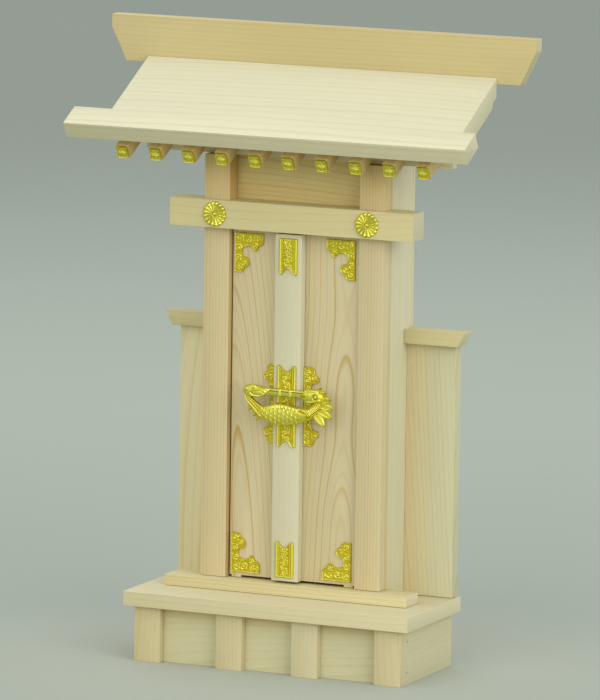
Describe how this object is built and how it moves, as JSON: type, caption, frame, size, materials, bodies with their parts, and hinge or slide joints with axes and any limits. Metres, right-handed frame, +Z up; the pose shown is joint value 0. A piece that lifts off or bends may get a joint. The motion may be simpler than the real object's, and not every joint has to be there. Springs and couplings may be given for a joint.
{
  "type": "kamidana household shrine",
  "caption": "Slim household shrine of plain wood: box base, pillared cabinet with hinged doors, gilt fittings and a fish-shaped lock, side wings and a lean-to roof with a tall ridge board.",
  "frame": {"origin": "on the ground, under the middle of the overall width and depth", "axes": "+Z up, doors face -Y, +X to the right seen from the front, metres"},
  "size_m": [0.364, 0.1046, 0.5],
  "materials": {
    "pale_wood": "planed bare conifer wood, pale, with fine grain",
    "warm_wood": "planed bare conifer wood, a little browner, with straight or arched grain",
    "roof_wood": "planed bare conifer wood, very pale, grain along the eave",
    "gilt": "bright gilt sheet metal with stamped relief"
  },
  "bodies": {
    "shrine": {"base_top_board": "pale_wood", "base_front_board": "pale_wood", "base_side_left": "pale_wood", "base_side_right": "pale_wood", "base_back_board": "pale_wood", "base_pilaster_1": "warm_wood", "base_pilaster_2": "warm_wood", "base_pilaster_3": "warm_wood", "base_pilaster_4": "warm_wood", "sill": "pale_wood", "pillar_left": "warm_wood", "pillar_right": "warm_wood", "side_wall_left": "pale_wood", "side_wall_right": "pale_wood", "back_board": "pale_wood", "upper_panel": "warm_wood", "beam": "pale_wood", "purlin": "pale_wood", "wing_left": "warm_wood", "wing_right": "warm_wood", "wing_cap_left": "pale_wood", "wing_cap_right": "pale_wood", "soffit_board": "pale_wood", "roof_board": "roof_wood", "ridge_board": "warm_wood", "rafter_1": "warm_wood", "rafter_2": "warm_wood", "rafter_3": "warm_wood", "rafter_4": "warm_wood", "rafter_5": "warm_wood", "rafter_6": "warm_wood", "rafter_7": "warm_wood", "rafter_8": "warm_wood", "rafter_9": "warm_wood", "rafter_10": "warm_wood", "rafter_cap_1": "gilt", "rafter_cap_2": "gilt", "rafter_cap_3": "gilt", "rafter_cap_4": "gilt", "rafter_cap_5": "gilt", "rafter_cap_6": "gilt", "rafter_cap_7": "gilt", "rafter_cap_8": "gilt", "rafter_cap_9": "gilt", "rafter_cap_10": "gilt", "crest_left": "gilt", "crest_right": "gilt"},
    "left_door": {"door_left": "warm_wood", "cover_strip": "pale_wood", "corner_top_left": "gilt", "corner_bottom_left": "gilt", "strip_fitting_top": "gilt", "strip_fitting_bottom": "gilt", "lock_plate_left": "gilt", "lock_plate_centre": "gilt", "fish_lock": "gilt"},
    "right_door": {"door_right": "warm_wood", "corner_top_right": "gilt", "corner_bottom_right": "gilt", "lock_plate_right": "gilt"}
  },
  "joints": [
    {"name": "left_door_hinge", "type": "hinge", "parent": "shrine", "child": "left_door", "pos_m": [-0.0484, 0.00275, 0.065], "axis": [0, 0, -1], "range_deg": [0, 90]},
    {"name": "right_door_hinge", "type": "hinge", "parent": "shrine", "child": "right_door", "pos_m": [0.0484, 0.00275, 0.065], "axis": [0, 0, 1], "range_deg": [0, 90]}
  ],
  "couplings": [
    {"joint": "right_door_hinge", "follows": "left_door_hinge", "ratio": 1}
  ]
}
